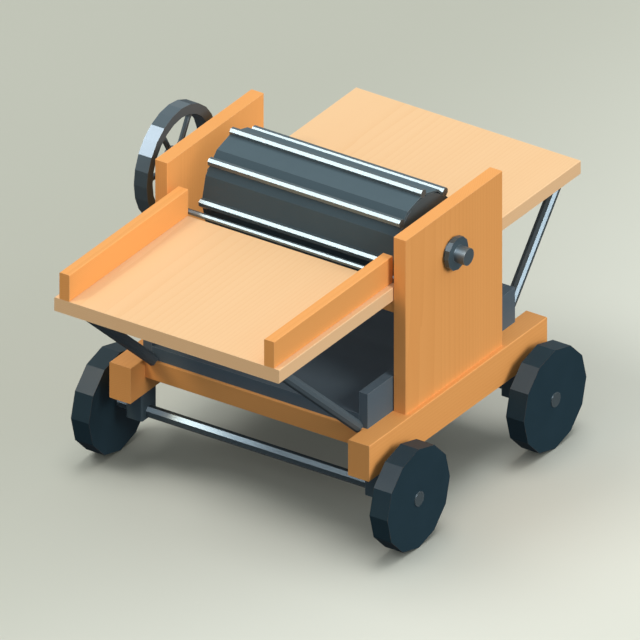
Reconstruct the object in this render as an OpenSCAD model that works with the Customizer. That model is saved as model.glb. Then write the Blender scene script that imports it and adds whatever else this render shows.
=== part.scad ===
// Drum thresher on a low four-wheeled wooden chassis.
//
// X runs along the drum axis, with the flywheel on the -X side. Y runs from the
// feed table (-Y) to the straw table (+Y). Z is up and the wheels stand on Z = 0.
// The origin lies under the middle of the overall length, on the centre plane.
// All places along Y are first measured from the front end of the rails.

/* [Chassis] */
// Width over the two rails
chassis_w = 1000; // [860:5:1200]
// Width of a rail
rail_w = 82; // [70:1:110]
// Height of a rail
rail_h = 130; // [110:1:170]
// Length of a rail
rail_l = 1022; // [1000:1:1200]
// Height of a cross member
member_h = 70; // [50:1:90]
// Width of a cross member along the machine
member_w = 60; // [40:1:90]
// Lead of the front cross member ahead of the tray
member_lead = 10; // [4:0.5:14]
// Broken edge on the timber
arris = 2; // [0.5:0.5:4]

/* [Wheels and axles] */
// Radius of a wheel over its corners
wheel_r = 180; // [150:1:190]
// Flats round a wheel
wheel_sides = 12; // [8:1:12]
// Width of a wheel
wheel_w = 69; // [50:1:90]
// Space between rail and wheel
wheel_gap = 40; // [30:0.5:50]
// Place of the front axle behind the rail ends
front_axle_y = 121; // [105:1:135]
// Distance between the axles
wheelbase = 784; // [760:1:800]
// Depth of the axle centres below the rails
axle_drop = 83; // [60:1:100]
// Radius of an eight-sided axle over its corners
axle_r = 21; // [19:0.5:21.5]
// Radius of the journal in a wheel
journal_r = 17; // [12:0.5:17.5]
// Radius of the cap that keeps a wheel on
cap_r = 25; // [22:0.5:32]
// Thickness of that cap
cap_t = 3.5; // [3:0.5:9]
// Width of an axle block across the machine
block_w = 62; // [50:1:66]
// Length of an axle block along the machine
block_l = 84; // [80:1:90]
// Depth of an axle block below the axle centre
block_below = 22; // [22:0.5:30]

/* [Side boards] */
// Thickness of a side board
board_t = 48; // [40:1:56]
// Length of a side board
board_l = 555; // [540:1:570]
// Height of a side board
board_h = 637; // [600:1:700]
// Place of the boards behind the rail ends
board_setback = 236; // [230:1:240]

/* [Tray] */
// Place of the tray behind the rail ends
tray_setback = 92; // [80:0.5:105]
// Length of the tray
tray_l = 847; // [820:1:860]
// Height of the tray walls
tray_wall_h = 127; // [90:1:150]
// Thickness of the folded tray walls
tray_wall_t = 33; // [24:1:40]
// Height of the tray floor
tray_floor_h = 46; // [30:1:60]
// Overlap of the tray on each rail
tray_lap = 14; // [8:1:16]
// Sheet thickness of the tray
sheet_t = 3; // [2:0.5:5]

/* [Tables] */
// Thickness of both tables
table_t = 49.5; // [40:0.5:56]
// Gap between a table and each side board
table_gap = 2; // [1:0.5:6]
// Reach of the feed table ahead of the rails
feed_reach = 417.5; // [360:0.5:450]
// Height of the feed table's top above the rails
feed_top = 451; // [445:1:456]
// Reach of the straw table behind the rails
straw_reach = 293; // [240:1:320]
// Height of the straw table's top above the rails
straw_top = 417; // [410:1:424]
// Height of the cheeks on the feed table
cheek_h = 97; // [70:1:130]
// Thickness of a cheek
cheek_t = 38.5; // [30:0.5:46]
// Inset of a cheek from the table's side
cheek_inset = 20; // [12:1:40]
// Height of the bearers under the inner table ends
bearer_h = 44; // [30:1:60]
// Width of those bearers along the machine
bearer_w = 25; // [20:1:26]
// Radius of the table struts over their corners
strut_r = 20; // [14:0.5:21]
// Flats round a table strut
strut_sides = 10; // [8:1:12]
// Slope of the feed struts from level, in degrees
feed_strut_slope = 42; // [38:0.5:46]
// Height of the feed struts' feet above the rails
feed_foot = 7; // [4:1:12]
// Slope of the straw struts from level, in degrees
straw_strut_slope = 50; // [46:0.5:54]
// Height of the straw struts' feet above the rails
straw_foot = 12; // [10:1:40]

/* [Threshing drum] */
// Place of the drum axis behind the rail ends
drum_y = 500; // [496:1:504]
// Height of the drum axis above the rails
drum_z = 477; // [470:1:486]
// Length of the drum
drum_l = 737; // [700:1:770]
// Offset of the drum towards its free shaft end
drum_shift = 5; // [0:0.5:8]
// Radius of the barrel over its corners
barrel_r = 176; // [170:0.5:178]
// Wall of the barrel
barrel_wall = 7; // [5:0.5:10]
// Height of a beater bar's centre over the corners of the barrel
bar_rise = 1.5; // [1:0.5:6]
// Radius of a beater bar
bar_r = 15.5; // [14:0.5:17]
// Radius of the drum shaft
shaft_r = 29.5; // [22:0.5:30]
// Length of the free shaft end on the right
stub_l = 40; // [25:1:60]

/* [Concave] */
// Radius of the row of concave rods
concave_r = 225.5; // [223:0.5:229]
// Radius of a concave rod
rod_r = 9.5; // [8:0.5:10.5]
// Number of concave rods
rod_count = 10; // [6:1:12]
// Angle of the front rod, in degrees from the rear horizontal
concave_start = 184; // [184:0.5:190]
// Angle of the rear rod
concave_end = 336; // [326:0.5:336]
// Thickness of the end rings
ring_t = 8; // [5:0.5:10]

/* [Flywheel] */
// Radius of the flywheel over its corners
fly_r = 200.5; // [180:0.5:220]
// Flats round the flywheel
fly_sides = 24; // [16:2:36]
// Radial thickness of the rim
fly_rim = 34; // [24:1:44]
// Width of the rim
fly_w = 50; // [36:1:60]
// Space between the left side board and the rim
fly_gap = 74; // [60:1:90]
// Number of spokes
spoke_count = 6; // [4:1:8]
// Radius of a spoke
spoke_r = 9.2; // [7:0.1:12]
// Radius of the hub
fly_hub_r = 46; // [42:0.5:54]

/* [Bearings and fasteners] */
// Radius of a bearing flange
flange_r = 58; // [57:0.5:66]
// Flats round a bearing flange
flange_sides = 12; // [8:1:12]
// Thickness of a bearing flange
flange_t = 16; // [12:1:20]
// Radius of the pad behind the flange
pad_r = 48; // [46.5:0.5:52]
// Thickness of that pad
pad_t = 9; // [6:1:12]
// Radius of the bearing sleeve inside the board
sleeve_r = 35.5; // [34.5:0.5:36.5]
// Radius of the flange bolts
bolt_r = 3.5; // [2.5:0.5:3.5]
// Radius of the coach screws in the axle blocks
coach_r = 5; // [4:0.5:6]
// Radius of the wooden pegs
peg_r = 8; // [6:0.5:9]
// Radius of the table screws
screw_r = 3; // [2:0.5:4]

/* [Fits] */
// Radial clearance of a running fit
run_gap = 0.05; // [0.02:0.01:0.1]
// End clearance beside a running part
end_gap = 0.4; // [0.3:0.1:0.8]
// Clearance round a tenon, peg or bolt
seat_gap = 0.2; // [0.1:0.05:0.4]

/* [Hidden] */
$fn = 48;

// Timber of the chassis, timber of the tables, dark steel, cast iron
orange_wood = [0.89, 0.62, 0.38];
pale_wood = [0.96, 0.82, 0.63];
steel = [0.30, 0.36, 0.40];
iron = [0.17, 0.23, 0.26];
bright = [0.62, 0.66, 0.69];

// Heights
axle_z = wheel_r;
rail_z = axle_z + axle_drop;
deck_z = rail_z + rail_h;
drum_h = deck_z + drum_z;
far = 1000;
feed_z = deck_z + feed_top;
straw_z = deck_z + straw_top;

// Places across the machine, measured from the centre plane
rail_in = chassis_w / 2 - rail_w;
rail_mid = chassis_w / 2 - rail_w / 2;
board_in = rail_mid - board_t / 2;
board_out = rail_mid + board_t / 2;
table_half = board_in - table_gap;
tray_half = rail_in + tray_lap;
tray_in = tray_half - tray_wall_t;
wheel_in = chassis_w / 2 + wheel_gap;
wheel_out = wheel_in + wheel_w;
cap_out = wheel_out + end_gap + cap_t;
block_mid = rail_mid;
strut_x = tray_in - 4;
fly_in = board_out + fly_gap;
fly_out = fly_in + fly_w;
flange_out = board_out + pad_t + flange_t;
stub_end = flange_out + stub_l;
neck_x = flange_out - 1;

// Places along the machine, measured from the rail ends
y_mid = (rail_l + straw_reach - feed_reach) / 2;
tray_front = tray_setback;
tray_rear = tray_setback + tray_l;
member_front = tray_front - member_lead;
member_rear = tray_rear + member_lead - member_w;
feed_bearer_y = drum_y - concave_r - rod_r - 0.5 - bearer_w;
board_front = board_setback;
board_rear = board_setback + board_l;
rear_axle_y = front_axle_y + wheelbase;
bar_pitch_r = barrel_r + bar_rise;
ring_in = concave_r - rod_r;
ring_out = concave_r + rod_r;
ring_tip = 3;
feed_strut_z = deck_z + feed_foot;
straw_strut_z = deck_z + straw_foot;
bar_count = 8;
flat_turn = 22.5;
feed_end = drum_y - ring_out - 0.5;
straw_start = drum_y + ring_out * cos(concave_end + ring_tip) + 5;
straw_bearer_y = (straw_start + board_rear - bearer_w) / 2;

// Joinery
tenon_t = 20;
tenon_l = 70;
tenon_h = 50;
tenon_inset = 60;
member_tenon = 20;
bearer_tenon = 12;
tenon_edge = 8;
head_t = 10;
bolt_circle = (pad_r + sleeve_r) / 2;
hub_gap = 3;
spigot_r = 5;
spigot_drop = 10;
spigot_l = 24;
spigot_shift = 5;
neck_w = 3;
neck_depth = 1.5;

// Moves children from rail-end measure to the model's own origin
module placed() {
    translate([0, -y_mid, 0]) children();
}

// Draws children on the left and, mirrored, on the right
module both_sides() {
    children();
    mirror([1, 0, 0]) children();
}

// Rectangle with broken corners
module section(w, h, c = arris) {
    polygon([[c, 0], [w - c, 0], [w, c], [w, h - c],
             [w - c, h], [c, h], [0, h - c], [0, c]]);
}

// Square timber along Y, from its lower corner
module timber_y(w, l, h, c = arris) {
    translate([0, l, 0]) rotate([90, 0, 0]) linear_extrude(l) section(w, h, c);
}

// Square timber along X, from its lower corner
module timber_x(l, w, h, c = arris) {
    rotate([90, 0, 90]) linear_extrude(l) section(w, h, c);
}

// Standing board, from its lower corner
module timber_z(w, l, h, c = arris) {
    linear_extrude(h) section(w, l, c);
}

// Cylinder along X between two places
module rod_x(r, x0, x1, sides = $fn) {
    translate([x0, 0, 0]) rotate([90, 0, 90]) cylinder(r = r, h = x1 - x0, $fn = sides);
}

// Cylinder along Y between two places
module rod_y(r, y0, y1, sides = $fn) {
    translate([0, y1, 0]) rotate([90, 0, 0]) cylinder(r = r, h = y1 - y0, $fn = sides);
}

// Flat-sided ring or disc of n sides with a corner on the axis
module gon(r, n) {
    polygon([for (i = [0:n - 1]) r * [cos(360 * i / n), sin(360 * i / n)]]);
}

// Sector of a ring between two angles, by a rule of small steps
module ring_sector(r0, r1, a0, a1, steps = 40) {
    outer = [for (i = [0:steps]) let (a = a0 + (a1 - a0) * i / steps) r1 * [cos(a), sin(a)]];
    inner = [for (i = [steps:-1:0]) let (a = a0 + (a1 - a0) * i / steps) r0 * [cos(a), sin(a)]];
    polygon(concat(outer, inner));
}

// Places of the tenons along a side board
function tenon_places() = [board_front + tenon_inset, board_rear - tenon_inset - tenon_l];

// Tenon of a side board, grown by g for its mortise
module board_tenons(g = 0) {
    for (y = tenon_places())
        translate([rail_mid - tenon_t / 2 - g, y - g, deck_z - tenon_h - 4 * g])
            cube([tenon_t + 2 * g, tenon_l + 2 * g, tenon_h + 4 * g]);
}

// Pegs across the tenons, driven from inside the rail
module pegs(g = 0) {
    for (y = tenon_places(), k = [0.25, 0.75])
        translate([0, y + tenon_l * k, deck_z - tenon_h * 0.55])
            rod_x(peg_r + g, rail_in, rail_mid + tenon_t / 2 + 12 + g, 24);
}

// Stub tenons of a cross member that starts at y, grown by g
module member_tenons(y, g = 0) {
    for (x = [-rail_in - member_tenon - g, rail_in])
        translate([x, y + tenon_edge - g, deck_z - member_h + tenon_edge - g])
            cube([member_tenon + g, member_w - 2 * tenon_edge + 2 * g,
                  member_h - 2 * tenon_edge + 2 * g]);
}

// Coach screws up through one axle block, grown by g
module block_screws(g = 0) {
    for (y = [front_axle_y, rear_axle_y], s = [-1, 1])
        translate([block_mid, y + s * (block_l / 2 + axle_r) / 2, 0]) {
            translate([0, 0, axle_z - block_below])
                cylinder(r = coach_r + g, h = block_below + axle_drop + rail_h * 0.6, $fn = 24);
            translate([0, 0, axle_z - block_below])
                cylinder(r = coach_r * 1.9 + g, h = 7 + g, $fn = 6);
        }
}

module rail() {
    color(orange_wood) placed() difference() {
        translate([rail_in, 0, rail_z]) timber_y(rail_w, rail_l, rail_h);
        board_tenons(seat_gap);
        pegs(seat_gap);
        member_tenons(member_front, seat_gap);
        member_tenons(member_rear, seat_gap);
        block_screws(seat_gap);
    }
}

module right_rail() { rail(); }
module left_rail() { mirror([1, 0, 0]) rail(); }

module cross_member(y) {
    color(orange_wood) placed() {
        translate([-rail_in, y, deck_z - member_h]) timber_x(2 * rail_in, member_w, member_h);
        member_tenons(y);
    }
}

// The front member also takes the lower spigots of the feed struts
module front_cross_member() {
    difference() {
        cross_member(member_front);
        both_sides() feed_strut_spigot(seat_gap);
    }
}

module rear_cross_member() { cross_member(member_rear); }

module side_board() {
    color(orange_wood) placed() difference() {
        union() {
            translate([board_in, board_front, deck_z]) timber_z(board_t, board_l, board_h);
            board_tenons();
        }
        pegs(seat_gap);
        translate([0, drum_y, drum_h]) rod_x(sleeve_r + seat_gap, board_in - 1, board_out + 1);
        flange_bolts(seat_gap);
        bearer_tenons(seat_gap);
    }
}

module right_side_board() { side_board(); }
module left_side_board() { mirror([1, 0, 0]) side_board(); }

module tenon_pegs() { color(pale_wood) placed() both_sides() pegs(); }

// Floor of the tray: a folded pan, open below, with stiffening ribs
module tray_floor() {
    length = tray_l - tray_wall_t;
    color(steel) placed() translate([-tray_in, tray_front, deck_z]) {
        difference() {
            cube([2 * tray_in, length, tray_floor_h]);
            translate([sheet_t, sheet_t, -1])
                cube([2 * (tray_in - sheet_t), length - 2 * sheet_t, tray_floor_h - sheet_t + 1]);
        }
        for (k = [1:4])
            translate([sheet_t, length * k / 5, tray_floor_h * 0.4])
                cube([2 * (tray_in - sheet_t), sheet_t, tray_floor_h * 0.6 - sheet_t]);
    }
}

// Folded wall of the tray, open below, from its lower corner along Y
module folded_wall(l) {
    difference() {
        cube([tray_wall_t, l, tray_wall_h]);
        translate([sheet_t, sheet_t, -1])
            cube([tray_wall_t - 2 * sheet_t, l - 2 * sheet_t, tray_wall_h - sheet_t + 1]);
    }
}

module side_wall() {
    color(steel) placed() translate([tray_in, tray_front, deck_z]) folded_wall(tray_l);
}

module tray_right_wall() { side_wall(); }
module tray_left_wall() { mirror([1, 0, 0]) side_wall(); }

module tray_rear_wall() {
    color(steel) placed() difference() {
        translate([tray_in, tray_rear - tray_wall_t, deck_z]) rotate([0, 0, 90])
            folded_wall(2 * tray_in);
        both_sides() straw_strut_spigot(seat_gap);
    }
}

// Stub tenons of both table bearers in the side boards, grown by g
module bearer_tenons(g = 0) {
    for (p = [[feed_bearer_y, feed_z], [straw_bearer_y, straw_z]])
        translate([board_in, p[0] + tenon_edge - g, p[1] - table_t - bearer_h + tenon_edge - g])
            cube([bearer_tenon + g, bearer_w - 2 * tenon_edge + 2 * g,
                  bearer_h - 2 * tenon_edge + 2 * g]);
}

module bearer(y, z) {
    color(orange_wood) placed() difference() {
        union() {
            translate([-board_in, y, z - table_t - bearer_h])
                timber_x(2 * board_in, bearer_w, bearer_h);
            both_sides() bearer_tenons_at(y, z);
        }
        screws(seat_gap);
    }
}

// The two tenons of one bearer
module bearer_tenons_at(y, z) {
    intersection() {
        bearer_tenons();
        translate([board_in, y, z - table_t - bearer_h]) cube([bearer_tenon, bearer_w, bearer_h]);
    }
}

module feed_bearer() { bearer(feed_bearer_y, feed_z); }
module straw_bearer() { bearer(straw_bearer_y, straw_z); }

module feed_table() {
    color(pale_wood) difference() {
        placed() difference() {
            translate([-table_half, -feed_reach, feed_z - table_t])
                timber_y(2 * table_half, feed_reach + feed_end, table_t);
            screws(seat_gap);
        }
        both_sides() feed_strut_spigot(seat_gap);
    }
}

module straw_table() {
    color(pale_wood) difference() {
        placed() difference() {
            translate([-table_half, straw_start, straw_z - table_t])
                timber_y(2 * table_half, rail_l + straw_reach - straw_start, table_t);
            screws(seat_gap);
        }
        both_sides() placed() straw_strut_spigot(seat_gap);
    }
}

module cheek() {
    color(orange_wood) placed() difference() {
        translate([table_half - cheek_inset - cheek_t, -feed_reach, feed_z])
            timber_y(cheek_t, feed_end + feed_reach, cheek_h);
        screws(seat_gap);
    }
}

module feed_right_cheek() { cheek(); }
module feed_left_cheek() { mirror([1, 0, 0]) cheek(); }

// Screws from below through the tables into the cheeks, and down into the bearers
module screws(g = 0) {
    cheek_x = table_half - cheek_inset - cheek_t / 2;
    run = feed_reach + board_front;
    for (x = [-cheek_x, cheek_x], k = [0.03, 0.3, 0.6, 0.9])
        translate([x, run * k - feed_reach, feed_z - table_t]) screw(table_t + 26, g);
    for (x = [-0.7, 0, 0.7])
        translate([x * table_half, 0, 0]) {
            translate([0, feed_bearer_y + bearer_w / 2, feed_z - table_t - bearer_h])
                screw(bearer_h + table_t * 0.6, g);
            translate([0, straw_bearer_y + bearer_w / 2, straw_z - table_t - bearer_h])
                screw(bearer_h + table_t * 0.6, g);
        }
}

// Countersunk screw that points up, grown by g
module screw(l, g = 0) {
    cylinder(r = screw_r + g, h = l + g, $fn = 16);
    cylinder(r1 = 2 * screw_r + g, r2 = screw_r + g, h = screw_r, $fn = 24);
}

module table_screws() { color(bright) placed() screws(); }

// Strut rod along its slope through a point, cut level at z_top
module sloped_rod(x, y, z, slope, r, l, back = 60) {
    translate([x, y, z]) rotate([slope, 0, 0]) rotate([0, 180 / strut_sides, 0])
        rod_y(r, -back, l, strut_sides);
}

// Feed strut: lower end on the tray front and cross member, upper under the table
module feed_strut() {
    length = (feed_top - table_t) / sin(feed_strut_slope) + 80;
    color(steel) difference() {
        placed() difference() {
            translate([0, member_front, 0]) mirror([0, 1, 0])
                sloped_rod(strut_x, 0, feed_strut_z, feed_strut_slope, strut_r, length);
            translate([0, tray_front, deck_z - far]) cube(2 * far);
            translate([0, member_front, deck_z - 2 * far]) cube(2 * far);
            translate([0, -far, feed_z - table_t]) cube(2 * far);
        }
    }
    feed_strut_spigot();
}

// Turned ends of the feed strut in the member and in the table, grown by g
module feed_strut_spigot(g = 0) {
    rise = feed_top - table_t - feed_foot;
    run = rise / tan(feed_strut_slope);
    color(steel) placed() {
        translate([strut_x, member_front - 1, deck_z - spigot_drop])
            rod_y(spigot_r + g, 0, spigot_l + g + 1, 24);
        translate([strut_x, member_front - run, feed_z - table_t - 1])
            cylinder(r = spigot_r + g, h = spigot_l + g + 1, $fn = 24);
    }
}

module feed_right_strut() { feed_strut(); }
module feed_left_strut() { mirror([1, 0, 0]) feed_strut(); }

// Straw strut: lower end on the tray's rear wall, upper under the table
module straw_strut() {
    length = (straw_top - table_t) / sin(straw_strut_slope) + 80;
    color(steel) placed() {
        difference() {
            sloped_rod(strut_x, tray_rear, straw_strut_z, straw_strut_slope, strut_r, length);
            translate([0, tray_rear - 2 * far, deck_z - far]) cube(2 * far);
            translate([0, tray_rear + member_lead - 2 * far, deck_z - 2 * far]) cube(2 * far);
            translate([0, tray_rear - far, straw_z - table_t]) cube(2 * far);
        }
        straw_strut_spigot();
    }
}

// Turned ends of the straw strut in the tray wall and in the table, grown by g
module straw_strut_spigot(g = 0) {
    rise = straw_top - table_t - straw_foot;
    run = rise / tan(straw_strut_slope);
    translate([strut_x - spigot_shift, tray_rear - 8 - g, straw_strut_z])
        rod_y(spigot_r + g, 0, 9 + g, 24);
    translate([strut_x, tray_rear + run, straw_z - table_t - 1])
        cylinder(r = spigot_r + g, h = spigot_l + g + 1, $fn = 24);
}

module straw_right_strut() { straw_strut(); }
module straw_left_strut() { mirror([1, 0, 0]) straw_strut(); }

// Studs of one bearing, blind in its flange, with nuts inside the board, grown by g
module flange_bolts(g = 0) {
    nut_h = 6.5;
    stud_in = pad_t + flange_t / 2;
    translate([0, drum_y, drum_h]) for (i = [0:3]) rotate([45 + 90 * i, 0, 0])
        translate([0, bolt_circle, 0]) {
            rod_x(bolt_r + g, board_in - nut_h - 2, board_out + stud_in + g, 24);
            if (g == 0) rod_x(bolt_r * 1.9, board_in - nut_h, board_in, 6);
        }
}

// Cast bearing: flat-sided flange on a round pad, and a sleeve through the board
module bearing() {
    color(iron) placed() difference() {
        translate([0, drum_y, drum_h]) {
            difference() {
                union() {
                    rod_x(flange_r, board_out + pad_t, flange_out, flange_sides);
                    rod_x(pad_r, board_out, board_out + pad_t + 1);
                    rod_x(sleeve_r, board_in, board_out + 1);
                }
                rod_x(shaft_r + run_gap, board_in - 1, flange_out + 1);
            }
        }
        flange_bolts(seat_gap);
    }
}

module right_bearing() { bearing(); }
module left_bearing() { mirror([1, 0, 0]) bearing(); }

module bearing_bolts() { color(bright) placed() both_sides() flange_bolts(); }

// Welded grate under the drum: round rods between two end rings
module concave_grate() {
    step = (concave_end - concave_start) / (rod_count - 1);
    color(steel) placed() translate([0, drum_y, drum_h]) {
        both_sides() translate([board_in - ring_t, 0, 0]) rotate([90, 0, 90])
            linear_extrude(ring_t)
                ring_sector(ring_in, ring_out, concave_start - ring_tip, concave_end + ring_tip);
        for (i = [0:rod_count - 1])
            let (a = concave_start + step * i)
                rotate([a, 0, 0]) translate([0, concave_r, 0]) rotate([flat_turn - a, 0, 0])
                    rod_x(rod_r, -board_in + ring_t / 2, board_in - ring_t / 2, 8);
    }
}

// Shaft with a turned neck between the right-hand bearing and its free end
module drum_shaft() {
    color(bright) placed() translate([0, drum_y, drum_h]) difference() {
        union() {
            rod_x(shaft_r, -fly_out, neck_x);
            rod_x(shaft_r - neck_depth, neck_x - 1, neck_x + neck_w + 1);
            rod_x(shaft_r, neck_x + neck_w, stub_end);
        }
        key(seat_gap);
    }
}

// Flat key between shaft and flywheel, grown by g
module key(g = 0) {
    w = shaft_r * 0.5;
    translate([-fly_out - g, -w / 2 - g, shaft_r - w * 0.35 - g])
        cube([fly_w + 2 * g, w + 2 * g, w * 0.7 + 2 * g]);
}

module flywheel_key() { color(bright) placed() translate([0, drum_y, drum_h]) key(); }

// Spoked flywheel with a flat-sided rim
module flywheel() {
    inner_r = fly_r - fly_rim;
    color(iron) placed() translate([0, drum_y, drum_h]) difference() {
        union() {
            translate([-fly_out, 0, 0]) rotate([90, 0, 90]) linear_extrude(fly_w) difference() {
                gon(fly_r, fly_sides);
                gon(inner_r, fly_sides);
            }
            rod_x(fly_hub_r, -fly_out, -fly_in);
            for (i = [0:spoke_count - 1]) rotate([360 * i / spoke_count, 0, 0])
                translate([-(fly_in + fly_out) / 2, fly_hub_r - 6, 0]) rotate([-90, 0, 0]) {
                    cylinder(r = spoke_r, h = inner_r - fly_hub_r + 12, $fn = 24);
                    cylinder(r1 = spoke_r * 1.5, r2 = spoke_r, h = 26, $fn = 24);
                    translate([0, 0, inner_r - fly_hub_r - 12])
                        cylinder(r1 = spoke_r, r2 = spoke_r * 1.5, h = 20, $fn = 24);
                }
        }
        rod_x(shaft_r + run_gap, -fly_out - 1, -fly_in + 1);
        key(seat_gap);
    }
}

// One beater bar at angle a, flat-sided
module bar_solid(a) {
    rotate([a, 0, 0]) translate([drum_shift, bar_pitch_r, 0]) rotate([flat_turn, 0, 0])
        rod_x(bar_r, -drum_l / 2, drum_l / 2, 8);
}

module beater_bar(i) {
    color(bright) placed() translate([0, drum_y, drum_h]) bar_solid(360 * (i - 1) / bar_count);
}

module beater_bar_1() { beater_bar(1); }
module beater_bar_2() { beater_bar(2); }
module beater_bar_3() { beater_bar(3); }
module beater_bar_4() { beater_bar(4); }
module beater_bar_5() { beater_bar(5); }
module beater_bar_6() { beater_bar(6); }
module beater_bar_7() { beater_bar(7); }
module beater_bar_8() { beater_bar(8); }

// Barrel of twelve plates, with a cradle along the inside under each beater bar
barrel_sides = 12;
barrel_half = drum_l / 2 - 1;
cradle_half = barrel_half - head_t;
cradle_t = 6;
shell_in = (barrel_r - barrel_wall) * cos(180 / barrel_sides);
head_r = min(shell_in, bar_pitch_r - bar_r * cos(flat_turn)) - seat_gap;
module drum_barrel() {
    cradle_in = bar_pitch_r - bar_r - cradle_t;
    cradle_w = 2 * bar_r + 8;
    color(steel) placed() translate([0, drum_y, drum_h]) difference() {
        translate([drum_shift, 0, 0]) difference() {
            rod_x(barrel_r, -barrel_half, barrel_half, barrel_sides);
            difference() {
                rod_x(barrel_r - barrel_wall, -barrel_half - 1, barrel_half + 1, barrel_sides);
                for (i = [0:bar_count - 1]) rotate([360 * i / bar_count, 0, 0])
                    translate([-cradle_half, cradle_in, -cradle_w / 2])
                        cube([2 * cradle_half, barrel_r - cradle_in, cradle_w]);
            }
        }
        for (i = [0:bar_count - 1]) bar_solid(360 * i / bar_count);
    }
}

// Head against the cradle ends: round plate with a ribbed hub up to the bearing; s is 1 on the right
module drum_head(s) {
    hub_in = 40;
    color(iron) placed() translate([0, drum_y, drum_h]) difference() {
        translate([s * drum_shift + barrel_half, 0, 0]) {
            rod_x(head_r, -head_t, 0);
            rod_x(sleeve_r - hub_gap, -hub_in, board_in - end_gap - barrel_half - s * drum_shift);
            for (i = [0:5]) rotate([60 * i + 15, 0, 0])
                translate([2 - hub_in, sleeve_r - 6, -4]) cube([hub_in - head_t - 1, barrel_r * 0.5, 8]);
        }
        rod_x(shaft_r + run_gap, 0, board_in + 1);
    }
}

module drum_right_head() { drum_head(1); }
module drum_left_head() { mirror([1, 0, 0]) drum_head(-1); }

// Eight-sided axle with turned-down journals in the wheels
module axle(y) {
    color(bright) placed() translate([0, y, axle_z]) {
        rotate([flat_turn, 0, 0]) rod_x(axle_r, -wheel_in + end_gap, wheel_in - end_gap, 8);
        rod_x(journal_r, -wheel_out - end_gap, wheel_out + end_gap);
    }
}

module front_axle() { axle(front_axle_y); }
module rear_axle() { axle(rear_axle_y); }

// Block under a rail that holds the axle
module axle_block(y) {
    color(iron) placed() difference() {
        translate([block_mid - block_w / 2, y - block_l / 2, axle_z - block_below])
            timber_z(block_w, block_l, block_below + axle_drop, 4);
        translate([0, y, axle_z]) rotate([flat_turn, 0, 0])
            rod_x(axle_r + seat_gap, block_mid - block_w, block_mid + block_w, 8);
        block_screws(seat_gap);
    }
}

module front_right_block() { axle_block(front_axle_y); }
module rear_right_block() { axle_block(rear_axle_y); }
module front_left_block() { mirror([1, 0, 0]) axle_block(front_axle_y); }
module rear_left_block() { mirror([1, 0, 0]) axle_block(rear_axle_y); }

module coach_screws() { color(bright) placed() both_sides() block_screws(); }

// Flat-sided disc wheel that stands on a corner
module wheel(y) {
    color(iron) placed() translate([0, y, axle_z]) difference() {
        rod_x(wheel_r, wheel_in, wheel_out, wheel_sides);
        rod_x(journal_r + run_gap, wheel_in - 1, wheel_out + 1);
    }
}

module front_right_wheel() { wheel(front_axle_y); }
module rear_right_wheel() { wheel(rear_axle_y); }
module front_left_wheel() { mirror([1, 0, 0]) wheel(front_axle_y); }
module rear_left_wheel() { mirror([1, 0, 0]) wheel(rear_axle_y); }

// Cap on the end of the journal
module cap(y) {
    color(bright) placed() translate([0, y, axle_z])
        rod_x(cap_r, wheel_out + end_gap, cap_out);
}

module front_right_cap() { cap(front_axle_y); }
module rear_right_cap() { cap(rear_axle_y); }
module front_left_cap() { mirror([1, 0, 0]) cap(front_axle_y); }
module rear_left_cap() { mirror([1, 0, 0]) cap(rear_axle_y); }

left_rail();
right_rail();
front_cross_member();
rear_cross_member();
left_side_board();
right_side_board();
tenon_pegs();
tray_floor();
tray_left_wall();
tray_right_wall();
tray_rear_wall();
feed_table();
feed_left_cheek();
feed_right_cheek();
feed_bearer();
feed_left_strut();
feed_right_strut();
straw_table();
straw_bearer();
straw_left_strut();
straw_right_strut();
table_screws();
left_bearing();
right_bearing();
bearing_bolts();
concave_grate();
drum_shaft();
drum_barrel();
drum_left_head();
drum_right_head();
beater_bar_1();
beater_bar_2();
beater_bar_3();
beater_bar_4();
beater_bar_5();
beater_bar_6();
beater_bar_7();
beater_bar_8();
flywheel();
flywheel_key();
front_axle();
rear_axle();
coach_screws();
front_left_block();
front_right_block();
rear_left_block();
rear_right_block();
front_left_wheel();
front_right_wheel();
rear_left_wheel();
rear_right_wheel();
front_left_cap();
front_right_cap();
rear_left_cap();
rear_right_cap();
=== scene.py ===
import bpy
import bmesh
import math
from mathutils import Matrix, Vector

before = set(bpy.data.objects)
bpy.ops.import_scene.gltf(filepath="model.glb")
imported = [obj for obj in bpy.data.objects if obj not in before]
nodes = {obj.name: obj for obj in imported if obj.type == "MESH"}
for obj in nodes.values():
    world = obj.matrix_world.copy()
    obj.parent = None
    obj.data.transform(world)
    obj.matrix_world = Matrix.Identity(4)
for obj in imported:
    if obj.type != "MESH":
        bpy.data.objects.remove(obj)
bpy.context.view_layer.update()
print("frame loaded:", len(nodes), "CAD nodes")

# the photograph has no perspective: every parallel edge stays parallel
cameraView = {
    "azimuth": 33.81,       # degrees round from the front, towards the right
    "elevation": 29.13,
    "width": 2.0463,        # metres across the frame
    "aim": (0.0, 0.0146, 0.4866),
    "distance": 9.0,
    "clip": (0.1, 60.0),    # nearest and farthest, metres
}


def makeCamera(view):
    data = bpy.data.cameras.new("photoCamera")
    camera = bpy.data.objects.new("photoCamera", data)
    bpy.context.scene.collection.objects.link(camera)
    turn, rise = math.radians(view["azimuth"]), math.radians(view["elevation"])
    back = Vector((
        math.sin(turn) * math.cos(rise), -math.cos(turn) * math.cos(rise), math.sin(rise)))
    data.type = "ORTHO"
    data.ortho_scale = view["width"]
    data.clip_start, data.clip_end = view["clip"]
    camera.location = Vector(view["aim"]) + back * view["distance"]
    camera.rotation_mode = "QUATERNION"
    camera.rotation_quaternion = (-back).to_track_quat("-Z", "Y")
    bpy.context.scene.camera = camera


makeCamera(cameraView)
bpy.context.scene.view_settings.view_transform = "Standard"
print("camera set")


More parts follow.
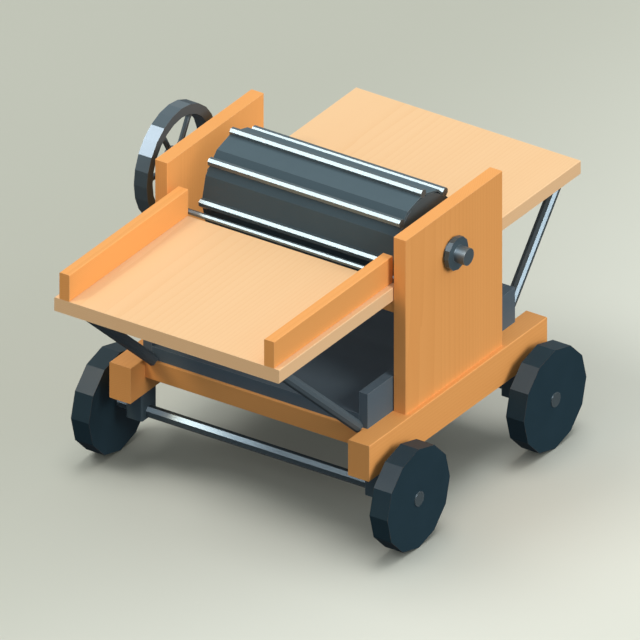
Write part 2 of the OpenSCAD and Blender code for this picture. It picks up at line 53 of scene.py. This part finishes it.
def hexColour(code):  # sRGB hex to linear
    parts = [int(code[i:i + 2], 16) / 255 for i in (1, 3, 5)]
    linear = [v / 12.92 if v <= 0.04045 else ((v + 0.055) / 1.055) ** 2.4 for v in parts]
    return (*linear, 1.0)


def newMaterial(name):
    mat = bpy.data.materials.new(name)
    mat.use_nodes = True
    mat.node_tree.nodes.clear()
    return mat


# owner is a material or the world, an input is a value or another node's output
def addNode(owner, kind, inputs=None, out=0, **settings):
    node = owner.node_tree.nodes.new("ShaderNode" + kind)
    for name, value in settings.items():
        setattr(node, name, value)
    for name, value in (inputs or {}).items():
        if isinstance(value, bpy.types.NodeSocket):
            owner.node_tree.links.new(value, node.inputs[name])
        else:
            node.inputs[name].default_value = value
    return node.outputs[out] if len(node.outputs) else node


def addMath(mat, operation, *values, clamp=False):
    return addNode(mat, "Math", dict(enumerate(values)), operation=operation, use_clamp=clamp)


def mixColour(mat, share, first, second):  # a colour Mix takes them at 6 and 7, gives at 2
    return addNode(mat, "Mix", {0: share, 6: first, 7: second}, 2, data_type="RGBA")


def mixShade(mat, clouds, grain, looks):  # 0 is all of a surface's first tone, 1 all of its second
    shade = addMath(mat, "MULTIPLY", clouds, looks["cloudShare"])
    return addMath(mat, "MULTIPLY_ADD", grain, looks["grainShare"], shade, clamp=True)


def rubbedCorners(mat, coords, looks):  # 0 on a flat, towards 1 in patches along a corner
    soft = addNode(mat, "Bevel", {"Radius": looks["edgeWidth"]}, samples=6)
    flat = addNode(mat, "NewGeometry", out="Normal")
    same = addNode(mat, "VectorMath", {0: soft, 1: flat}, "Value", operation="DOT_PRODUCT")
    patches = addNode(mat, "TexNoise", {"Vector": coords, "Scale": 60.0, "Detail": 3.0})
    turned = addMath(mat, "SUBTRACT", 1.0, same, clamp=True)
    turned = addMath(mat, "MULTIPLY", turned, looks["edgeGain"])
    return addMath(mat, "MULTIPLY", turned, patches, clamp=True)


def finishMaterial(mat, colour, shade, height, looks):
    # rough is the middle of the spread, and the second tone is the rougher one
    smoothest = looks["rough"] - looks["roughSpread"] / 2
    roughness = addMath(mat, "MULTIPLY_ADD", shade, looks["roughSpread"], smoothest)
    normal = addNode(mat, "Bump", {
        "Strength": looks["bump"], "Distance": looks["depth"], "Height": height})
    surface = addNode(mat, "BsdfPrincipled", {
        "Base Color": colour, "Roughness": roughness, "Normal": normal,
        "Metallic": looks["metallic"], "Specular IOR Level": looks["specular"]})
    addNode(mat, "OutputMaterial", {"Surface": surface})
    return mat


# planed softwood under warm linseed oil: even satin face, darker summer rings, paler corners
larchTones = {"pale": "#eeab65", "dark": "#e49e58", "edge": "#f6c28c"}
spruceTones = {"pale": "#eecaa0", "dark": "#e8bf91", "edge": "#f5dcb8"}
timberLooks = {
    "ringSpacing": 0.007,   # 7 mm between growth rings
    "waveSpacing": 0.314,   # metres between the rings of a wave texture at scale 1
    "ringPower": 3.0,       # narrows each ring's dark side
    "fibreWidth": 0.0012,   # drawn at 1.2 mm, a real fibre is far finer
    "stretch": 0.045,       # a ring runs on for about twenty times its width
    "cloudScale": 9.0,
    "cloudShare": 0.5, "ringShare": 0.45, "fibreShare": 0.2,    # how much each darkens the wood
    "holdBack": -0.1,       # taken off the darkening again
    "ringDip": -0.6,        # how deep a summer ring is sunk, against a fibre's height
    "rough": 0.60, "roughSpread": 0.14, "edgeWidth": 0.003, "edgeGain": 4.0,
    "bump": 0.2, "depth": 0.0004, "metallic": 0.0, "specular": 0.3,
}


# axis: the way the grain runs; heart: how far off the pith lies
def planedTimber(name, tones, axis, heart, looks):
    mat = newMaterial(name)
    coords = addNode(mat, "TexCoord", out="Object")
    squeeze = [1.0, 1.0, 1.0]
    squeeze["XYZ".index(axis)] = looks["stretch"]
    placed = addNode(mat, "Mapping", {"Vector": coords, "Location": heart, "Scale": squeeze})
    rings = addNode(mat, "TexWave", {
        "Vector": placed, "Scale": looks["waveSpacing"] / looks["ringSpacing"],
        "Distortion": 5.0, "Detail": 2.5, "Detail Scale": 0.35, "Detail Roughness": 0.45},
        "Fac", wave_type="RINGS", rings_direction=axis, wave_profile="SAW")
    clouds = addNode(mat, "TexNoise", {
        "Vector": placed, "Scale": looks["cloudScale"], "Detail": 2.0})
    fibres = addNode(mat, "TexNoise", {
        "Vector": placed, "Scale": 1 / looks["fibreWidth"], "Detail": 3.0})
    summer = addMath(mat, "POWER", rings, looks["ringPower"])
    shade = addMath(mat, "MULTIPLY_ADD", clouds, looks["cloudShare"], looks["holdBack"])
    shade = addMath(mat, "MULTIPLY_ADD", summer, looks["ringShare"], shade)
    shade = addMath(mat, "MULTIPLY_ADD", fibres, looks["fibreShare"], shade, clamp=True)
    colour = mixColour(mat, shade, hexColour(tones["pale"]), hexColour(tones["dark"]))
    worn = rubbedCorners(mat, coords, looks)
    colour = mixColour(mat, worn, colour, hexColour(tones["edge"]))
    height = addMath(mat, "MULTIPLY_ADD", summer, looks["ringDip"], fibres)
    return finishMaterial(mat, colour, shade, height, looks)


larchAlong = planedTimber("oiledLarchAlong", larchTones, "Y", (0.21, 0.0, 0.13), timberLooks)
larchAcross = planedTimber("oiledLarchAcross", larchTones, "X", (0.0, 0.4, 0.11), timberLooks)
larchUpright = planedTimber("oiledLarchUpright", larchTones, "Z", (0.3, 0.17, 0.0), timberLooks)
spruceBoards = planedTimber("planedSpruce", spruceTones, "Y", (0.37, 0.0, 0.29), timberLooks)
print("timber materials made")

# hot-rolled sheet: blue-grey mill scale in soft clouds, dull, rubbed paler on corners
sheetLooks = {
    "base": "#5a6b79", "cloud": "#50616f", "worn": "#8b98a1",
    "lay": (1.0, 1.0, 1.0),     # even grain, a small number draws it out along that axis
    "cloudSize": 0.09,      # clouds of scale about 90 mm across
    "grainSize": 0.0015,    # drawn at 1.5 mm so that it shows
    "cloudShare": 0.6, "grainShare": 0.5,
    "rough": 0.60, "roughSpread": 0.16, "edgeWidth": 0.0025, "edgeGain": 5.0,
    "bump": 0.2, "depth": 0.00015, "metallic": 0.15, "specular": 0.25,
}
barrelLooks = dict(sheetLooks, base="#50636d", cloud="#495b65",
                   rough=0.65, metallic=0.5, specular=0.4)
strutLooks = dict(sheetLooks, base="#55646e", cloud="#4b5a65")
# bright-rolled bar: glossier, with fine lines across the machine, as most of the bars lie
barLooks = dict(sheetLooks, base="#67767f", cloud="#5d6c75", worn="#a6b2ba",
                lay=(0.05, 1.0, 1.0), rough=0.20, bump=0.08, metallic=0.50, specular=0.45)
shaftLooks = dict(barLooks, rough=0.42)
# sand-cast iron: pebbly with a dull shine, smoother and far glossier on the flywheel
castLooks = dict(sheetLooks, base="#576974", cloud="#4d5f6b", worn="#75838c",
                 rough=0.32, metallic=0.3, depth=0.0003)
wheelCastLooks = dict(castLooks, base="#586a77", cloud="#50626f",
                      rough=0.16, specular=0.9, bump=0.06)
# screws, studs, nuts and the key: the palest steel here
fastenerLooks = dict(sheetLooks, base="#7c8890", cloud="#68737a", worn="#aab3b9",
                     rough=0.36, metallic=0.9)


def millSteel(name, looks):
    mat = newMaterial(name)
    coords = addNode(mat, "TexCoord", out="Object")
    rolled = addNode(mat, "Mapping", {"Vector": coords, "Scale": looks["lay"]})
    clouds = addNode(mat, "TexNoise", {
        "Vector": coords, "Scale": 1 / looks["cloudSize"], "Detail": 4.0, "Roughness": 0.6})
    grain = addNode(mat, "TexNoise", {
        "Vector": rolled, "Scale": 1 / looks["grainSize"], "Detail": 2.0})
    shade = mixShade(mat, clouds, grain, looks)
    colour = mixColour(mat, shade, hexColour(looks["base"]), hexColour(looks["cloud"]))
    worn = rubbedCorners(mat, coords, looks)
    colour = mixColour(mat, worn, colour, hexColour(looks["worn"]))
    return finishMaterial(mat, colour, shade, grain, looks)


sheetSteel = millSteel("millScaleSheet", sheetLooks)
barSteel = millSteel("rolledBarSteel", barLooks)
barrelSteel = millSteel("rolledBarrelPlate", barrelLooks)
strutSteel = millSteel("millScaleStrut", strutLooks)
shaftSteel = millSteel("turnedShaftSteel", shaftLooks)
castIron = millSteel("sandCastIron", castLooks)
flywheelIron = millSteel("flywheelCastIron", wheelCastLooks)
fastenerSteel = millSteel("dullFastenerSteel", fastenerLooks)
print("steel materials made")

# solid timber discs under dark blue-grey oil paint: faint grain through it, chipped corners
wheelLooks = {
    "paint": "#1a313d", "faded": "#203947", "wood": "#8d6f50",
    "lay": (1.0, 0.06, 1.0),    # the grain runs front to back
    "grainSpacing": 0.006,  # 6 mm between raised grain lines
    "cloudScale": 14.0,
    "cloudShare": 0.7, "grainShare": 0.3,
    "rough": 0.505, "roughSpread": 0.15, "edgeWidth": 0.002, "edgeGain": 5.0,
    "chipStart": 0.5,       # a corner rubbed more than this has lost its paint
    "chipShow": 0.5,        # how far the wood shows through in a chip
    "bump": 0.2, "depth": 0.0004, "metallic": 0.0, "specular": 0.25,
}


def paintedTimber(name, looks):
    mat = newMaterial(name)
    coords = addNode(mat, "TexCoord", out="Object")
    along = addNode(mat, "Mapping", {"Vector": coords, "Scale": looks["lay"]})
    grain = addNode(mat, "TexNoise", {
        "Vector": along, "Scale": 1 / looks["grainSpacing"], "Detail": 3.0})
    clouds = addNode(mat, "TexNoise", {
        "Vector": coords, "Scale": looks["cloudScale"], "Detail": 4.0})
    shade = mixShade(mat, clouds, grain, looks)
    colour = mixColour(mat, shade, hexColour(looks["paint"]), hexColour(looks["faded"]))
    worn = rubbedCorners(mat, coords, looks)
    chips = addMath(mat, "GREATER_THAN", worn, looks["chipStart"])
    chips = addMath(mat, "MULTIPLY", chips, looks["chipShow"])
    colour = mixColour(mat, chips, colour, hexColour(looks["wood"]))
    return finishMaterial(mat, colour, shade, grain, looks)


wheelTimber = paintedTimber("paintedWheelTimber", wheelLooks)
print("wheel paint made")

finishes = {
    "left_rail": larchAlong, "right_rail": larchAlong,
    "front_cross_member": larchAcross, "rear_cross_member": larchAcross,
    "feed_bearer": larchAcross, "straw_bearer": larchAcross,
    "left_side_board": larchUpright, "right_side_board": larchUpright,
    "feed_left_cheek": larchAlong, "feed_right_cheek": larchAlong,
    "feed_table": spruceBoards, "straw_table": spruceBoards, "tenon_pegs": larchAcross,
    "tray_floor": sheetSteel, "tray_left_wall": sheetSteel, "tray_right_wall": sheetSteel,
    "tray_rear_wall": sheetSteel, "drum_barrel": barrelSteel, "concave_grate": barSteel,
    "feed_left_strut": strutSteel, "feed_right_strut": strutSteel,
    "straw_left_strut": barSteel, "straw_right_strut": barSteel,
    "left_bearing": castIron, "right_bearing": castIron,
    "drum_left_head": castIron, "drum_right_head": castIron, "flywheel": flywheelIron,
    "drum_shaft": shaftSteel, "front_axle": barSteel, "rear_axle": barSteel,
    "table_screws": fastenerSteel, "bearing_bolts": fastenerSteel,
    "coach_screws": fastenerSteel, "flywheel_key": fastenerSteel,
}
for end in ("front", "rear"):
    for side in ("left", "right"):
        finishes[f"{end}_{side}_block"] = castIron
        finishes[f"{end}_{side}_wheel"] = wheelTimber
        finishes[f"{end}_{side}_cap"] = barSteel
for number in range(1, 9):
    finishes[f"beater_bar_{number}"] = barSteel
for name, node in nodes.items():
    node.data.materials.clear()
    node.data.materials.append(finishes[name])
print("CAD nodes dressed")

# matt paper under the machine, with a painted pool of light: its colour runs from dim to pale
# along X, towards the window light
floorLooks = {
    "size": 80.0, "dim": "#b8b9ac", "pale": "#dfe0d5",
    "paintedShadeEnd": -1.4, "paintedLightEnd": 1.2,     # metres along X
    "cloudScale": 1.1, "cloudShare": 0.06, "rough": 0.9, "specular": 0.1,
}


def paperWithPaintedLight(name, looks):
    mat = newMaterial(name)
    coords = addNode(mat, "TexCoord", out="Object")
    across = addNode(mat, "SeparateXYZ", {"Vector": coords}, "X")
    # painted light: the pale share grows along X, a pool of light painted into the paper's colour
    paintedLightShare = addNode(mat, "MapRange", {
        "Value": across, "From Min": looks["paintedShadeEnd"], "From Max": looks["paintedLightEnd"]},
        interpolation_type="SMOOTHSTEP")
    clouds = addNode(mat, "TexNoise", {
        "Vector": coords, "Scale": looks["cloudScale"], "Detail": 2.0})
    paintedLightShare = addMath(mat, "MULTIPLY_ADD", clouds, looks["cloudShare"], paintedLightShare, clamp=True)
    colour = mixColour(mat, paintedLightShare, hexColour(looks["dim"]), hexColour(looks["pale"]))
    surface = addNode(mat, "BsdfPrincipled", {
        "Base Color": colour, "Roughness": looks["rough"],
        "Specular IOR Level": looks["specular"]})
    addNode(mat, "OutputMaterial", {"Surface": surface})
    return mat


def makeFloor(looks):
    mesh = bpy.data.meshes.new("studioFloor")
    bm = bmesh.new()
    bmesh.ops.create_grid(bm, x_segments=1, y_segments=1, size=looks["size"] / 2)
    bm.to_mesh(mesh)
    bm.free()
    floor = bpy.data.objects.new("studioFloor", mesh)
    bpy.context.scene.collection.objects.link(floor)
    mesh.materials.append(paperWithPaintedLight("paperFloorPaintedLight", looks))
    # no light comes back from the paper, as in the photograph
    floor.visible_diffuse = floor.visible_glossy = False
    return floor


roomLight = {
    "above": 0.60, "below": 0.06,   # radiance overhead and under the horizon
    "blend": 0.3,                   # one turns into the other this far either side of level
    "colour": "#f9ffff",
}
# way: from the machine to the light; softness: degrees; lights: what the light falls on;
# passes: what casts no shadow of it
sunLights = {
    # warm, from the right
    "windowLight": {
        "way": (0.86, -0.12, 0.50), "strength": 1.87, "softness": 25.0, "colour": "#fff5e8",
        "lights": "offFloor", "passes": "slightPieces"},
    # weaker, from the left in front
    "frontLight": {
        "way": (-0.34, -0.525, 0.78), "strength": 0.96, "softness": 12.0, "colour": "#ffe6bc",
        "lights": "offBarrel"},
    "topLight": {
        "way": (0.0, 0.20, 0.98), "strength": 0.30, "softness": 40.0, "colour": "#f4ffff",
        "lights": "offFloor"},
    # parts the barrel's upper flats from the lower
    "ridgeLight": {
        "way": (0.15, 0.45, 0.88), "strength": 1.9, "softness": 30.0, "colour": "#fffbf2",
        "lights": "onBarrel"},
    # the photograph's shadow holds only what stands low, so the floor has lights of its own:
    # one from above, one from the left in front
    "paperLight": {
        "way": (0.0, 0.12, 1.0), "strength": 1.0, "softness": 36.0, "colour": "#ffffff",
        "lights": "onFloor", "passes": "tallPieces"},
    "liftLight": {
        "way": (-0.50, -0.30, 0.80), "strength": 0.85, "softness": 26.0, "colour": "#ffffff",
        "lights": "onFloor"},
}
# two wide lamps for white facets on bars, axles and struts, seen only in the gloss of iron,
# steel and paint
glossLamps = {
    "ways": {"leftLamp": (-0.486, -0.487, 0.726), "rightLamp": (0.92, -0.22, 0.32)},
    "distance": 6.0, "size": 4.2, "radiance": 7.0, "colour": "#f9fcff",
}
lightAim = (0.0, 0.05, 0.87)    # every light faces this point, by the drum
sunDistance = 8.0
# a piece is in one of these lists when its name holds one of the words
tallWords = ("table", "cheek", "strut", "board", "bearer", "drum", "beater", "fly", "bearing")
slightWords = ("cheek", "drum", "beater")
mattWords = ("table", "cheek", "board", "rail", "member", "bearer", "pegs", "barrel")


def makeRoom(looks):
    world = bpy.data.worlds.new("softRoom")
    bpy.context.scene.world = world
    world.use_nodes = True
    sky = world.node_tree.nodes["Background"]
    where = addNode(world, "TexCoord", out="Generated")
    height = addNode(world, "SeparateXYZ", {"Vector": where}, "Z")
    glow = addNode(world, "MapRange", {
        "Value": height, "From Min": -looks["blend"], "From Max": looks["blend"],
        "To Min": looks["below"], "To Max": looks["above"]}, interpolation_type="SMOOTHSTEP")
    world.node_tree.links.new(glow, sky.inputs["Strength"])
    sky.inputs["Color"].default_value = hexColour(looks["colour"])


def placeLight(name, kind, way, distance, colour):
    light = bpy.data.objects.new(name, bpy.data.lights.new(name, kind))
    way = Vector(way).normalized()
    light.location = Vector(lightAim) + way * distance
    light.rotation_mode = "QUATERNION"
    light.rotation_quaternion = way.to_track_quat("Z", "Y")
    light.data.color = hexColour(colour)[:3]
    bpy.context.scene.collection.objects.link(light)
    return light


def piecesNamed(words):
    return [node for name, node in nodes.items() if any(word in name for word in words)]


def linkedGroup(name, members, state):
    group = bpy.data.collections.new(name)
    for member in members:
        group.objects.link(member)
    for entry in group.collection_objects:
        entry.light_linking.link_state = state
    return group


def makeLights(floor):
    barrel = nodes["drum_barrel"]
    lists = {
        "onFloor": ([floor], "INCLUDE"),
        "offFloor": ([floor], "EXCLUDE"),
        "onBarrel": ([barrel], "INCLUDE"),
        "offBarrel": ([floor, barrel], "EXCLUDE"),
        "tallPieces": (piecesNamed(tallWords), "EXCLUDE"),
        "slightPieces": (piecesNamed(slightWords), "EXCLUDE"),
        "offMatt": ([floor] + piecesNamed(mattWords), "EXCLUDE"),
    }
    groups = {name: linkedGroup(name, *entry) for name, entry in lists.items()}
    for name, looks in sunLights.items():
        sun = placeLight(name, "SUN", looks["way"], sunDistance, looks["colour"])
        sun.data.energy = looks["strength"]
        sun.data.angle = math.radians(looks["softness"])
        sun.light_linking.receiver_collection = groups[looks["lights"]]
        if "passes" in looks:
            sun.light_linking.blocker_collection = groups[looks["passes"]]
    size = glossLamps["size"]
    for name, way in glossLamps["ways"].items():
        lamp = placeLight(name, "AREA", way, glossLamps["distance"], glossLamps["colour"])
        lamp.data.shape = "DISK"
        lamp.data.size = size
        lamp.data.energy = glossLamps["radiance"] * (math.pi * size / 2) ** 2   # watts
        lamp.data.use_shadow = False
        lamp.visible_diffuse = False
        lamp.light_linking.receiver_collection = groups["offMatt"]


makeRoom(roomLight)
makeLights(makeFloor(floorLooks))
print("floor and lights set")
